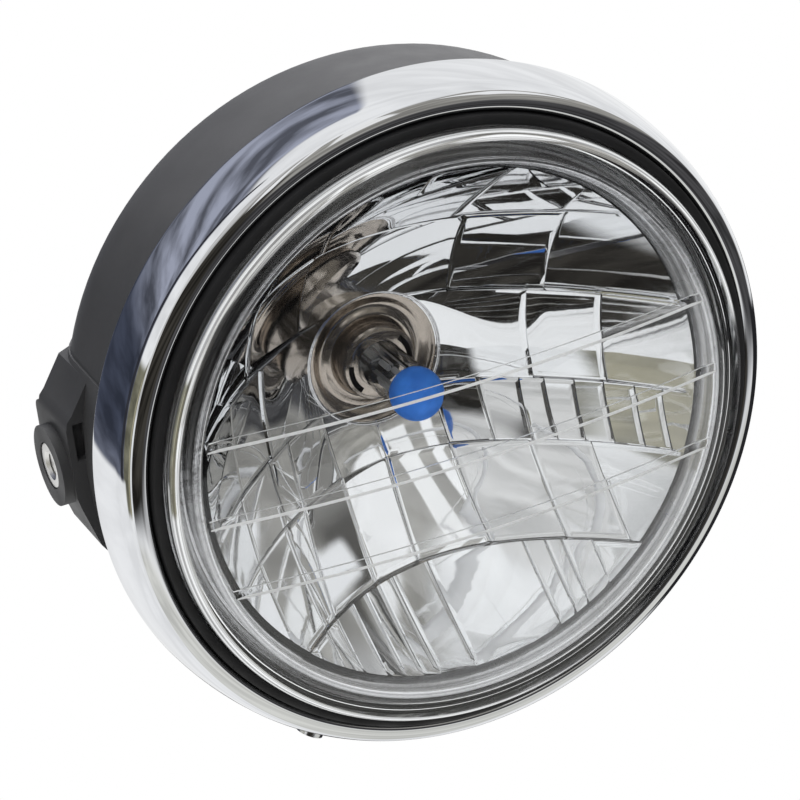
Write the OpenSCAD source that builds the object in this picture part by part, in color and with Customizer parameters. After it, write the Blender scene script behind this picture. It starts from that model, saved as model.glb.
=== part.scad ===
// Round motorcycle headlight: a plastic bucket with a side mounting boss on each side,
// a chrome rim, a glass and reflector unit, and a prefocus bulb with a painted tip.
// Millimetres. X is the viewer's right, Z is up, the lamp shines toward -Y.
// The origin is the middle of the side bolt axis. Depths are measured back from the
// shoulder of the glass, where its dome meets its border.

/* [Lens] */
// Distance from the glass shoulder back to the side bolt axis
axis_to_shoulder = 58; // [50:0.5:66]
// Width of the border between the dome and the side wall of the glass
border_width = 9.8; // [8:0.1:15]
// How far the dome stands in front of the shoulder
dome_height = 8; // [5:0.5:11]
// Outer radius of the side wall of the glass
glass_radius = 87.8; // [86:0.2:88]
// How far the rounded border falls back from the shoulder
border_drop = 5.2; // [4:0.2:5.8]
// Wall thickness of the glass
glass_wall = 3; // [2.4:0.2:3.4]
// How far the glass flange that the gasket grips stands out
glass_flange = 1.8; // [1.2:0.1:2.2]
// Height of the upper rib on the inside of the glass
rib_upper = 20; // [14:0.5:26]
// Distance between the ribs
rib_pitch = 22.3; // [18:0.1:25]
// Width of a rib
rib_width = 2.2; // [1.4:0.2:3]
// How far a rib stands out from the inside of the glass
rib_depth = 1.6; // [0.8:0.2:2]

/* [Rim] */
// Radius of the rolled bead on the front of the rim
bead_radius = 2.3; // [1.8:0.1:2.4]
// Depth of the centre of the bead
bead_depth = 9; // [8.6:0.1:9.6]
// How far the rim flares out from its bead to its back edge
rim_flare = 4.1; // [3:0.1:7]
// Depth of the back edge of the rim
rim_depth = 27.4; // [26:0.2:30]
// How far the band bulges out between bead and back edge
band_bulge = 1.1; // [0.8:0.1:1.4]
// Sheet thickness of the rim
rim_sheet = 1.2; // [0.8:0.1:1.4]
// Radial gap between the rim and the housing
rim_gap = 0.3; // [0.2:0.1:0.4]

/* [Housing] */
// Wall thickness of the housing
wall = 2.8; // [2:0.1:3.2]
// How far the housing wall sits inside the band that carries the rim
wall_step = 2.6; // [2:0.1:3.4]
// Depth where the rounded shoulder starts
shoulder_start = 57; // [50:0.5:60]
// Radius of the rounded shoulder
shoulder_round = 25; // [18:1:32]
// Angle through which the shoulder turns
shoulder_angle = 40; // [35:1:45]
// Depth of the flat back of the housing
back_depth = 114; // [108:1:122]
// Radius of the flat back of the housing
flat_radius = 30; // [28:1:34]
// How far the housing reaches forward inside the rim
front_lap = 8.9; // [8:0.1:9.4]

/* [Side bosses] */
// How far the round boss face stands out from the housing wall
boss_reach = 7.5; // [6:0.1:12]
// Radius of the round boss
boss_radius = 11.6; // [10:0.2:12.4]
// How far the round boss stands out of the block behind it
boss_rise = 2.8; // [1:0.2:3.6]
// How far the metal insert is set back from the boss face
insert_setback = 1.5; // [0.5:0.1:2.5]
// Outer radius of the metal insert
insert_radius = 6.7; // [5.5:0.1:7.5]
// Bore radius of the insert, the M8 tapping size
insert_bore = 3.4; // [2.5:0.1:4.2]
// Length of the insert
insert_length = 15; // [12:0.5:17]

/* [Reflector] */
// Depth of the bottom of the dish
dish_bottom = 67.8; // [66:0.2:69]
// Thickness of the reflector shell
shell = 2.2; // [1.8:0.1:2.6]
// Height of the ledge above the bulb
upper_ledge = 16; // [12:0.5:18]
// Distance from the centre down to the lower ledge
lower_ledge = 52.5; // [46:0.5:56]
// How far the middle of the dish steps forward of the top
ledge_step = 5; // [2:0.5:6]
// Radius of the bulb hole
bulb_hole = 18.6; // [18.4:0.1:19]
// How far the ring round the bulb hole lies in front of the bottom of the dish
hole_rise = 3.5; // [3:0.1:4.2]

/* [Bulb] */
// How far the bulb flange reaches past the bulb hole
flange_overlap = 2.7; // [2:0.1:3.4]
// Radius of the collar behind the bulb glass
collar_radius = 11.3; // [10:0.1:12]
// How far the collar stands in front of the seat of the bulb
collar_rise = 7; // [5:0.2:9]
// Outer radius of the bulb glass
tube_radius = 7; // [6.4:0.1:7.4]
// Length of the straight bulb glass in front of the collar
tube_length = 23.5; // [20:0.5:26]
// How far the painted tip swells past the glass
tip_swell = 0.7; // [0.5:0.1:1.4]

/* [Small parts] */
// Angle of the rim screws from straight down
screw_angle = 30; // [20:1:40]
// How far the rim screws sit in front of the back edge of the rim
screw_inset = 4.9; // [4.6:0.1:5.4]
// Shank radius of the rim screws
screw_radius = 2.4; // [2:0.1:2.6]
// Head radius of the rim screws
screw_head = 4; // [3.4:0.1:4.6]
// Radius of the wiring hole in the back
wire_hole = 11; // [9:0.5:13]
// How far the wiring hole sits below the centre
wire_drop = 8; // [4:1:12]

/* [Hidden] */
$fn = 96;
fit = 0.05;
seat = 0.3;

dome_radius = glass_radius - border_width;
glass_flange_radius = glass_radius + glass_flange;
glass_sphere = (dome_radius * dome_radius + dome_height * dome_height) / (2 * dome_height);
glass_inner = glass_radius - glass_wall - 0.2;
dome_inner = dome_radius - 1.4;
lip_radius = glass_flange_radius + 0.7;
bead_centre = lip_radius + bead_radius;
lip_depth = bead_depth + 1.2;
gasket_back = lip_depth + 1.2;
glass_flange_front = gasket_back + fit;
glass_back = glass_flange_front + 2;
unit_back = glass_back + 1.6;
ring_back = unit_back + 1.2;
ring_radius = bead_centre + bead_radius + 0.2;
rim_radius = bead_centre + bead_radius + rim_flare;
hem_radius = rim_radius - 2.3;
flange_band = hem_radius - rim_gap;
flange_end = rim_depth + 0.2;
front_edge = rim_depth - front_lap;
screw_depth = rim_depth - screw_inset;
wall_radius = flange_band - wall_step;
wall_front = wall_radius + 0.7;
pad_top = rim_radius - 1.1;
skirt_front = border_drop + 0.4;
skirt_radius = dome_radius - 0.7;
skirt_back = 15;
dish_radius = skirt_radius - 4.9;
dish_width = dish_radius * dish_radius / (dish_bottom - skirt_back + 0.742);
hole_depth = dish_bottom - hole_rise;
neck_end = hole_depth + 1.7;
neck_radius = bulb_hole + 5.9;
collar_wall_radius = neck_radius + 9.5;
collar_wall_end = neck_end + 8;
seat_back = neck_end + 1;
disc_back = seat_back + 1.2;
insulator_radius = collar_radius + 2;
insulator_end = disc_back + 11.8;
spring_ring = insulator_radius + 3.2;
spring_wire = 0.7;
spring_screw_x = neck_radius + 3.1;
flange_radius = bulb_hole + flange_overlap;
collar_depth = neck_end - collar_rise;
tip_depth = collar_depth - tube_length;
tip_radius = tube_radius + tip_swell;
boss_face = wall_radius + boss_reach;
boss_block = boss_face - boss_rise;
insert_front = boss_face - insert_setback;
insert_back = insert_front - insert_length;
nut_top = flange_band - wall - 0.1;
nut_thick = 4;
nut_size = 8;
blade_spread = 7;
blade_sheet = 0.8;
blade_length = 9;
blade_width = 6.3;
boot_grip = 9;
boot_roll = 6;
grommet_wall = 4.5;
seat_screw_length = 4.5;
facet_near = 23;
facet_far = 46;
middle_near = 41;
middle_far = 57;
lower_near = 17;
middle_floor = 12;

// Which piece to draw

// A depth behind the glass shoulder as a position along Y.
function at(d) = d - axis_to_shoulder;
// Depth of a sphere that has its front at depth a.
function cap(r, a, s) = a + s - sqrt(s * s - r * r);
// Outside of the band of the rim, k from 0 at the bead to 1 at the back edge.
function band_r(k) = bead_centre + bead_radius
    + (rim_radius - bead_centre - bead_radius) * k + 4 * band_bulge * k * (1 - k);
function band_d(k) = bead_depth + (rim_depth - bead_depth) * k;
// Surface of the dish, moved back by m.
function dish(r, m) = dish_bottom + m - r * r / dish_width;
// Back of the reflector shell.
function shell_back(r) = dish(r, 0.5) + shell * sqrt(1 + 4 * r * r / dish_width / dish_width);

// Profile points are radius and position along Y.
module spun(points) {
    rotate([-90, 0, 0]) rotate_extrude(convexity = 8) polygon(points);
}

// A rod or ring section along Y between two depths.
module rod(r, d1, d2, x = 0, z = 0) {
    translate([x, at(d1), z]) rotate([-90, 0, 0]) cylinder(h = d2 - d1, r = r);
}

module tube(ro, ri, d1, d2) {
    difference() {
        rod(ro, d1, d2);
        rod(ri, d1 - 1, d2 + 1);
    }
}

// A rod along X, from x1 out to x2.
module cross(r, x1, x2) {
    translate([x1, 0, 0]) rotate([0, 90, 0]) cylinder(h = x2 - x1, r = r);
}

// Places a rim screw feature: its Z axis points out of the lamp, radially.
module at_screw(s) {
    rotate([0, s * screw_angle, 0]) translate([0, at(screw_depth), 0]) rotate([180, 0, 0]) children();
}

// Solid of revolution inside a housing surface set in by t from the outside.
module bucket(t, front, out) {
    r1 = wall_radius + out;
    cr = r1 - shoulder_round;
    a = shoulder_angle;
    ra = shoulder_round - t;
    rr = cr + shoulder_round * cos(a) - flat_radius;
    dd = back_depth + out - shoulder_start - shoulder_round * sin(a);
    rb = (cos(a) * rr - sin(a) * dd) / (1 - sin(a));
    db = back_depth + out - rb;
    spun(concat(
        [[0, at(front)], [wall_front + out - t, at(front)]],
        [for (i = [0:6]) [cr + ra * cos(a * i / 6), at(shoulder_start + ra * sin(a * i / 6))]],
        [for (i = [0:7]) let (b = a + (90 - a) * i / 7)
            [flat_radius + (rb - t) * cos(b), at(db + (rb - t) * sin(b))]],
        [[0, at(back_depth + out - t)]]));
}

module boss_side() {
    intersection() {
        translate([0, 14, 0]) rotate([90, 0, 0]) linear_extrude(30) polygon([
            [wall_radius - 7.8, 29], [wall_radius - 3.4, 27.4],
            [boss_block - 2.2, 18.6], [boss_block - 0.6, 16.8],
            [boss_block, 14.6], [boss_block, -6], [boss_block - 0.8, -9.5],
            [boss_block - 4.6, -22], [wall_radius - 3.8, -28], [wall_radius - 7.8, -29]]);
        rotate([90, 0, 90]) linear_extrude(120) union() {
            translate([-12.2, -40]) square([22.2, 80]);
            translate([-12.2, -8]) square([25.2, 20]);
            translate([9.4, 12]) circle(3.6);
            translate([9.4, -8]) circle(3.6);
            translate([0, -30]) square([10, 30]);
        }
    }
    cross(boss_radius, boss_block - 6, boss_face);
    cross(insert_radius + 3.6, insert_back, wall_radius + 0.2);
}

module housing() {
    color([0.22, 0.22, 0.23]) difference() {
        union() {
            difference() {
                union() {
                    bucket(0, flange_end - 1, 0);
                    rod(flange_band, front_edge, flange_end);
                    intersection() {
                        bucket(0, flange_end + 1, 0.5);
                        translate([-120, at(flange_end), -29]) cube([240, 46, 58]);
                    }
                    boss_side();
                    mirror([1, 0, 0]) boss_side();
                }
                bucket(wall, flange_end - 1, 0);
                rod(flange_band - wall, front_edge - 1, flange_end - 0.5);
            }
            cross(insert_radius + 3.6, insert_back, wall_radius - 1);
            mirror([1, 0, 0]) cross(insert_radius + 3.6, insert_back, wall_radius - 1);
        }
        for (s = [-1, 1]) {
            mirror([s < 0 ? 1 : 0, 0, 0]) {
                cross(insert_radius + fit, insert_back - 1, boss_face + 1);
                translate([boss_block - 5.1, -12.9, 5]) cube([3.2, 4, 11]);
            }
            at_screw(s) cylinder(h = rim_radius, r = screw_radius + seat, $fn = 32);
            translate([s * 14, at(96), -110]) cylinder(h = 60, r = 2.5, $fn = 32);
        }
        rod(wire_hole, back_depth - 10, back_depth + 10, 0, -wire_drop);
    }
}

module insert() {
    difference() {
        union() {
            cross(insert_radius, insert_back, insert_front);
            cross(insert_radius + 1.6, insert_back - 1.2, insert_back);
        }
        cross(insert_bore, insert_back - 5, insert_front + 5);
        translate([insert_front - 0.8, 0, 0]) rotate([0, 90, 0])
            cylinder(h = 1, r1 = insert_bore - 0.2, r2 = insert_bore + 0.8);
    }
}

module insert_right() {
    color([0.8, 0.8, 0.8]) insert();
}

module insert_left() {
    color([0.8, 0.8, 0.8]) mirror([1, 0, 0]) insert();
}

// Outside of the rim set in by t, closed on the axis.
module rim_body(t) {
    b = bead_radius - t;
    spun(concat(
        [[0, at(bead_depth)]],
        [for (i = [12:-1:1]) [bead_centre + b * cos(15 * i), at(bead_depth - b * sin(15 * i))]],
        [for (i = [0:10]) [band_r(i / 10) - t, at(band_d(i / 10))]],
        [[0, at(rim_depth)]]));
}

module rim() {
    color([0.85, 0.86, 0.88]) difference() {
        union() {
            difference() {
                rim_body(0);
                rim_body(rim_sheet);
                rod(lip_radius, 0, rim_depth + 1);
            }
            tube(lip_radius + rim_sheet, lip_radius, bead_depth - 0.1, lip_depth);
            intersection() {
                rim_body(0.3);
                tube(rim_radius, hem_radius, rim_depth - rim_sheet, rim_depth);
            }
            intersection() {
                rim_body(0.3);
                for (i = [0:3]) rotate([0, 45 + 90 * i, 0])
                    translate([ring_radius - 1.4, at(ring_back + 0.1), -5]) cube([6, 1, 10]);
            }
            intersection() {
                rim_body(0.3);
                for (s = [-1, 1]) at_screw(s) translate([0, 0, hem_radius])
                    cylinder(h = pad_top - hem_radius, r = screw_head + 1.6);
            }
        }
        for (s = [-1, 1]) at_screw(s) {
            cylinder(h = rim_radius, r = screw_radius + seat, $fn = 32);
            translate([0, 0, pad_top]) cylinder(h = 5, r = screw_head + 1);
        }
    }
}

module rim_gasket() {
    g = glass_radius + fit;
    color([0.05, 0.05, 0.05]) spun([
        [g, at(border_drop + 0.9)], [g + 0.6, at(border_drop + 0.3)],
        [lip_radius - 0.7, at(border_drop + 0.5)], [lip_radius - fit, at(border_drop + 1.5)],
        [lip_radius - fit, at(lip_depth + fit)], [lip_radius + 2.4, at(lip_depth + fit)],
        [lip_radius + 2.4, at(gasket_back)], [g, at(gasket_back)]]);
}

module glass_solid(r0, a, s, ro, drop, back) {
    spun(concat(
        [for (i = [0:16]) [r0 * i / 16, at(cap(r0 * i / 16, a, s))]],
        [for (i = [1:6]) let (t = 15 * i)
            [r0 + (ro - r0) * sin(t), at(cap(r0, a, s) + drop * (1 - cos(t)))]],
        [[ro, at(back)], [0, at(back)]]));
}

module lens() {
    color([0.85, 0.9, 0.95, 0.35]) union() {
        difference() {
            union() {
                glass_solid(dome_radius, -dome_height, glass_sphere, glass_radius, border_drop, glass_back);
                rod(glass_flange_radius, glass_flange_front, glass_back);
            }
            glass_solid(dome_inner, glass_wall - dome_height, glass_sphere - glass_wall,
                glass_inner, border_drop, glass_back + 5);
        }
        difference() {
            intersection() {
                rod(dome_inner - 0.6, -dome_height, glass_back);
                glass_solid(dome_radius, 1 - dome_height, glass_sphere - 1, glass_radius,
                    border_drop, glass_back);
                for (i = [0:2]) translate([-90, -90, rib_upper - rib_pitch * i - rib_width / 2])
                    cube([180, 180, rib_width]);
            }
            glass_solid(dome_radius, glass_wall + rib_depth - dome_height,
                glass_sphere - glass_wall - rib_depth, glass_radius, border_drop, 100);
        }
    }
}

// The dish with its surface moved back by m, open to the front.
module dish_cut(m) {
    spun(concat(
        [[0, at(-30)], [dish_radius, at(-30)]],
        [for (i = [0:12]) let (r = dish_radius + (bulb_hole - 4 - dish_radius) * i / 12)
            [r, at(dish(r, m))]],
        [[0, at(dish(bulb_hole - 4, m))]]));
}

module zone(x1, x2, z1, z2, m) {
    intersection() {
        dish_cut(m);
        translate([x1, at(-40), z1]) cube([x2 - x1, 140, z2 - z1]);
    }
}

module reflector() {
    color([0.9, 0.9, 0.9]) difference() {
        union() {
            spun(concat(
                [[0, at(skirt_front)], [skirt_radius + shell, at(skirt_front)],
                 [skirt_radius + shell, at(glass_back + fit)],
                 [glass_flange_radius, at(glass_back + fit)], [glass_flange_radius, at(unit_back)],
                 [skirt_radius + shell, at(unit_back)]],
                [for (i = [0:12]) let (r = skirt_radius - 1 + (neck_radius + 1 - skirt_radius) * i / 12)
                    [r, at(shell_back(r))]],
                [[neck_radius, at(neck_end)], [0, at(neck_end)]]));
            tube(collar_wall_radius, collar_wall_radius - 2, shell_back(collar_wall_radius) - 2,
                collar_wall_end);
        }
        spun([[0, at(skirt_front - 1)], [skirt_radius + 0.3, at(skirt_front - 1)],
            [dish_radius + 0.6, at(skirt_back)], [0, at(skirt_back)]]);
        zone(-facet_near, facet_near, upper_ledge, facet_far, 0.5);
        zone(-90, 90, facet_far, 90, 0);
        zone(-middle_near, middle_near, -middle_floor, upper_ledge, 0.5 - ledge_step);
        zone(-lower_near, lower_near, -lower_ledge, -middle_floor, 1.3 - ledge_step);
        zone(-90, 90, -90, -lower_ledge, -1.5 - ledge_step);
        for (s = [0, 1]) mirror([s, 0, 0]) {
            zone(facet_near, facet_far, upper_ledge, facet_far, -0.6);
            zone(facet_far, 90, upper_ledge, facet_far, 0.5);
            zone(middle_near, middle_far, -middle_floor, upper_ledge, 1.5 - ledge_step);
            zone(middle_far, 90, -middle_floor, upper_ledge, 0.5 - ledge_step);
            zone(lower_near, 90, -lower_ledge, -middle_floor, 0.5 - ledge_step);
        }
        rod(bulb_hole + 1, 20, hole_depth);
        rod(bulb_hole, 20, neck_end + 1);
        for (s = [-1, 1]) rod(1.5 + fit, neck_end - 6, neck_end + 4, s * spring_screw_x, 0);
    }
}

module holding_ring() {
    color([0.6, 0.6, 0.6]) tube(ring_radius, skirt_radius + shell + 3, unit_back + fit, ring_back);
}

module rim_screws() {
    color([0.8, 0.8, 0.8]) for (s = [-1, 1]) at_screw(s) difference() {
        union() {
            translate([0, 0, pad_top]) cylinder(h = 2.2, r = screw_head);
            translate([0, 0, nut_top - nut_thick - 1.5]) cylinder(h = pad_top - nut_top + nut_thick + 2,
                r = screw_radius);
        }
        for (a = [0, 90]) translate([0, 0, pad_top + 1.2]) rotate([0, 0, a])
            translate([-screw_head * 0.6, -0.5, 0]) cube([screw_head * 1.2, 1, 3]);
    }
}

module rim_nuts() {
    color([0.6, 0.6, 0.6]) for (s = [-1, 1]) at_screw(s) difference() {
        translate([-nut_size / 2, -nut_size / 2, nut_top - nut_thick]) cube([nut_size, nut_size, nut_thick]);
        cylinder(h = rim_radius, r = screw_radius + fit);
    }
}

module bulb_seat() {
    color([0.7, 0.7, 0.7]) difference() {
        union() {
            rod(neck_radius, neck_end, seat_back);
            translate([-spring_screw_x - 2, at(neck_end), -3.5]) cube([2 * spring_screw_x + 4, 1, 7]);
        }
        rod(bulb_hole, neck_end - 1, seat_back + 1);
        for (s = [-1, 1]) rod(1.5 + fit, neck_end - 1, seat_back + 1, s * spring_screw_x, 0);
    }
}

module seat_screws() {
    color([0.7, 0.7, 0.7]) for (s = [-1, 1]) {
        rod(1.5, neck_end - seat_screw_length, disc_back + 2 * spring_wire + 0.2, s * spring_screw_x, 0);
        rod(2.9, disc_back + 2 * spring_wire + 0.1, disc_back + 2 * spring_wire + 1.5, s * spring_screw_x, 0);
    }
}

module bulb_spring() {
    y = at(disc_back + spring_wire);
    color([0.75, 0.75, 0.75]) {
        translate([0, y, 0]) rotate([-90, 0, 0]) rotate_extrude($fn = 64)
            translate([spring_ring, 0]) circle(spring_wire, $fn = 20);
        for (s = [-1, 1]) {
            translate([s * spring_screw_x, y, 0]) rotate([-90, 0, 0]) rotate_extrude($fn = 32)
                translate([1.5 + fit + spring_wire, 0]) circle(spring_wire, $fn = 20);
            translate([s * (spring_ring + spring_screw_x - 2.2) / 2, y, 0]) rotate([0, 90, 0])
                cylinder(h = spring_screw_x - 2.2 - spring_ring, r = spring_wire * 0.9, center = true, $fn = 20);
        }
    }
}

module bulb_flange() {
    color([0.62, 0.56, 0.5]) union() {
        rod(flange_radius, seat_back, disc_back);
        tube(bulb_hole - 0.3, collar_radius + 0.6, neck_end - 0.3, seat_back + 0.3);
    }
}

module bulb_collar() {
    slot_r = (collar_radius + tube_radius) / 2;
    color([0.68, 0.64, 0.6]) difference() {
        spun([[0, at(collar_depth)], [collar_radius - 1.6, at(collar_depth)],
            [collar_radius - 0.5, at(collar_depth + 0.5)], [collar_radius, at(collar_depth + 1.6)],
            [collar_radius, at(seat_back)], [0, at(seat_back)]]);
        rod(collar_radius - 0.7, collar_depth + 1.9, seat_back + 1);
        rod(tube_radius + fit, collar_depth - 1, seat_back + 1);
        for (a = [-45, 135]) rotate([0, a, 0]) translate([0, at(collar_depth - 1), 0])
            rotate([-90, 0, 0]) rotate_extrude(angle = 56) translate([slot_r - 0.8, 0]) square([1.6, 5]);
    }
}

module bulb_glass() {
    color([0.9, 0.93, 0.96, 0.3]) difference() {
        union() {
            rod(tube_radius, tip_depth, seat_back);
            translate([0, at(tip_depth), 0]) sphere(tube_radius);
        }
        rod(tube_radius - 0.8, tip_depth, seat_back - 3);
        translate([0, at(tip_depth), 0]) sphere(tube_radius - 0.8);
    }
}

module bulb_tip() {
    i = tube_radius + fit;
    e = asin(i / tip_radius);
    color([0.18, 0.4, 0.82]) spun(concat(
        [for (k = [0:14]) let (b = (180 - e) * k / 14)
            [tip_radius * sin(b), at(tip_depth - tip_radius * cos(b))]],
        [for (k = [8:-1:0]) [i * sin(90 * k / 8), at(tip_depth - i * cos(90 * k / 8))]]));
}

module bulb_shield() {
    color([0.5, 0.5, 0.5]) difference() {
        union() {
            intersection() {
                tube(4.6, 4.2, collar_depth - 16.5, collar_depth - 8);
                translate([-6, at(collar_depth - 19), -6]) cube([12, 14, 6.4]);
            }
            translate([-0.7, at(collar_depth - 8), -4.6]) cube([1.4, seat_back + 4.9 - collar_depth, 0.5]);
            translate([-0.7, at(collar_depth - 8.4), -4.6]) cube([1.4, 0.8, 0.9]);
        }
    }
}

module coil(d1, d2, z) {
    for (i = [0:7]) translate([0, at(d1 + (d2 - d1) * (i + 0.5) / 8), z]) rotate([-90, 0, 0])
        rotate_extrude($fn = 24) translate([0.7, 0]) circle(0.2, $fn = 13);
    translate([0, at(d1 - 0.4), z + 0.7]) rotate([-90, 0, 0]) cylinder(h = d2 - d1 + 0.8, r = 0.14, $fn = 13);
}

module filament_main() {
    color([0.7, 0.7, 0.72]) coil(collar_depth - 6.4, collar_depth - 1, 0.8);
}

module filament_dip() {
    color([0.7, 0.7, 0.72]) coil(collar_depth - 15, collar_depth - 9.6, 1.8);
}

module filament_posts() {
    color([0.6, 0.6, 0.6]) {
        rod(0.3, collar_depth - 9.1, seat_back - 3.1, 0, 3);
        rod(0.3, collar_depth - 15.7, seat_back - 3.1, 2.6, 2.6);
        rod(0.3, collar_depth - 0.7, seat_back - 3.1, -2.6, 1.5);
        translate([0, at(collar_depth - 7.1), 1.3]) cylinder(h = 1.7, r = 0.25, $fn = 16);
        translate([0.2, at(collar_depth - 15.5), 2.3]) rotate([0, 83, 0]) cylinder(h = 2.4, r = 0.25, $fn = 16);
        translate([-2.6, at(collar_depth - 0.3), 1.5]) rotate([0, 90, 0]) cylinder(h = 2.6, r = 0.25, $fn = 16);
    }
}

module bulb_insulator() {
    color([0.3, 0.3, 0.3]) union() {
        rod(insulator_radius, disc_back, insulator_end - 2);
        rod(insulator_radius - 2, disc_back, insulator_end);
    }
}

module bulb_terminals() {
    color([0.75, 0.72, 0.6]) {
        for (s = [-1, 1]) translate([s * blade_spread - blade_sheet / 2, at(insulator_end), -blade_width / 2])
            cube([blade_sheet, blade_length, blade_width]);
        translate([-blade_width / 2, at(insulator_end), blade_spread - blade_sheet / 2])
            cube([blade_width, blade_length, blade_sheet]);
    }
}

module bulb_boot() {
    r = collar_wall_radius + fit;
    e = collar_wall_end;
    color([0.08, 0.08, 0.08]) spun([
        [r, at(e - boot_grip)], [r + 2, at(e - boot_grip)], [r + 2, at(e + 1)], [r - 1, at(e + 2.2)],
        [r - boot_roll, at(e - 1)], [r - boot_roll - 3, at(e - 1)], [insulator_radius + 5, at(e + 4)],
        [insulator_radius + 1.8, at(e + 4)], [insulator_radius + fit, at(e + 3)],
        [insulator_radius + fit, at(e + 1)], [insulator_radius + 3.6, at(e + 2)],
        [r - boot_roll - 3.8, at(e - 2.6)], [r - boot_roll + 0.6, at(e - 2.6)],
        [r - 2.6, at(e + fit)], [r, at(e + fit)]]);
}

module wiring_grommet() {
    color([0.06, 0.06, 0.06]) difference() {
        union() {
            rod(wire_hole - fit, back_depth - wall - 2, back_depth + 2, 0, -wire_drop);
            rod(wire_hole + 3, back_depth + fit, back_depth + 2.2, 0, -wire_drop);
            rod(wire_hole + 2.6, back_depth - wall - 2.2, back_depth - wall - fit, 0, -wire_drop);
        }
        rod(wire_hole - grommet_wall, back_depth - 20, back_depth + 20, 0, -wire_drop);
    }
}

housing();
insert_left();
insert_right();
rim();
rim_gasket();
lens();
reflector();
holding_ring();
rim_screws();
rim_nuts();
bulb_seat();
seat_screws();
bulb_spring();
bulb_flange();
bulb_collar();
bulb_glass();
bulb_tip();
bulb_shield();
filament_main();
filament_dip();
filament_posts();
bulb_insulator();
bulb_terminals();
bulb_boot();
wiring_grommet();
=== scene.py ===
import math

import bmesh
import bpy
from bpy.props import FloatProperty, FloatVectorProperty, IntProperty, PointerProperty
from bpy.types import Operator, Panel, PropertyGroup
from mathutils import Matrix, Vector


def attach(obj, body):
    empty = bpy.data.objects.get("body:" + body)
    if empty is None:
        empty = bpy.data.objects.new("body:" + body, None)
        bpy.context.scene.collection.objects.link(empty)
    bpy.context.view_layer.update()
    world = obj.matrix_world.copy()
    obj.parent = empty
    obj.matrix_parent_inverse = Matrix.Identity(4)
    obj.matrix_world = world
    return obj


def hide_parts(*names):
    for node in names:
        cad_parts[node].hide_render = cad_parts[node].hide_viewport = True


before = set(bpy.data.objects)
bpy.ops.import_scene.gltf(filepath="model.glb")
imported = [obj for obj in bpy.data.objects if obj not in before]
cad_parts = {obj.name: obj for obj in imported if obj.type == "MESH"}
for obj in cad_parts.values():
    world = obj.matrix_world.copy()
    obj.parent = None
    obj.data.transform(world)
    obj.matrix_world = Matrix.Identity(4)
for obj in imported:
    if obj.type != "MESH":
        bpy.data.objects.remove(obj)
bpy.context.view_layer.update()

bl_info = {
    "name": "Round motorcycle headlight",
    "version": (1, 0, 0),
    "blender": (4, 5, 0),
    "location": "View3D > Sidebar > Headlight",
    "description": "Chrome rim, glass, stepped reflector, bulb and bucket of a round headlight",
    "category": "Object",
}

MM = 0.001
SHOULDER = 58.0          # millimetres from the side bolt axis forward to the glass shoulder
WELD = 2e-6              # points of a mesh nearer than this become one
CUT = 1e-7               # a cutting plane this near to a point goes through it
SMOOTH_NODES = 32.0      # edges of the frame's nodes look smooth up to this angle, in degrees
SMOOTH_PIECES = 35.0     # and those of new pieces, where nothing else is said


# ---------------------------------------------------------------- sizes and colours

def length(name, description, default, low=0.0, high=0.3):
    return FloatProperty(name=name, description=description, default=default, min=low,
                         max=high, unit="LENGTH", subtype="DISTANCE", precision=4)


def colour(name, description, default):
    return FloatVectorProperty(name=name, description=description, default=default,
                               subtype="COLOR", size=3, min=0.0, max=1.0)


class HEADLIGHT_PG_rim(PropertyGroup):
    back_radius: length("Back edge radius", "Outer radius of the back edge", 0.09895)
    back_depth: length("Back edge depth", "Depth of the back edge behind the glass shoulder",
                       0.0274)
    band_curve: length("Band curve", "Radius of the slight curve along the band", 0.0716)
    shoulder: length("Shoulder", "Radius of the wide roll in front of the band", 0.0160)
    corner: length("Corner", "Radius of the tighter roll onto the front face", 0.0026)
    face: length("Front face", "Radius of the gently crowned front face", 0.0070)
    lip: length("Lip roll", "Radius at which the sheet turns in towards the glass", 0.0014)
    sheet: length("Sheet", "Thickness of the chromed sheet", 0.0010)
    pad_radius: length("Screw pad radius", "Radius to which the screw pads are flattened", 0.0979)
    steps: IntProperty(name="Steps", description="Segments round the rim", default=384,
                       min=64, max=720)
    tint: colour("Chrome", "Colour of the plating", (0.80, 0.81, 0.83))


class HEADLIGHT_PG_glass(PropertyGroup):
    dome_radius: length("Dome radius", "Radius where the dome meets its border", 0.078)
    dome_height: length("Dome height", "How far the dome stands out of its shoulder", 0.008)
    border_radius: length("Border radius", "Outer radius of the glass", 0.0866)
    border_drop: length("Border drop", "How far the border falls back", 0.0052)
    bright_edge: length("Bright edge", "Radius from which the rounded edge shines like silver",
                        0.0843)
    flange_radius: length("Flange radius", "Radius of the flange in the gasket", 0.0896)
    wall: length("Glass thickness", "Thickness of the glass", 0.003)
    rib_top: length("Upper rib height", "Height of the upper rib above the centre", 0.020)
    rib_pitch: length("Rib pitch", "Distance between the moulded ribs", 0.0223)
    rib_width: length("Rib width", "Width of a rib", 0.0031)
    rib_depth: length("Rib depth", "How far a rib stands out", 0.0013)
    tint: colour("Glass", "Colour of the glass", (0.985, 0.995, 1.0))


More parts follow.
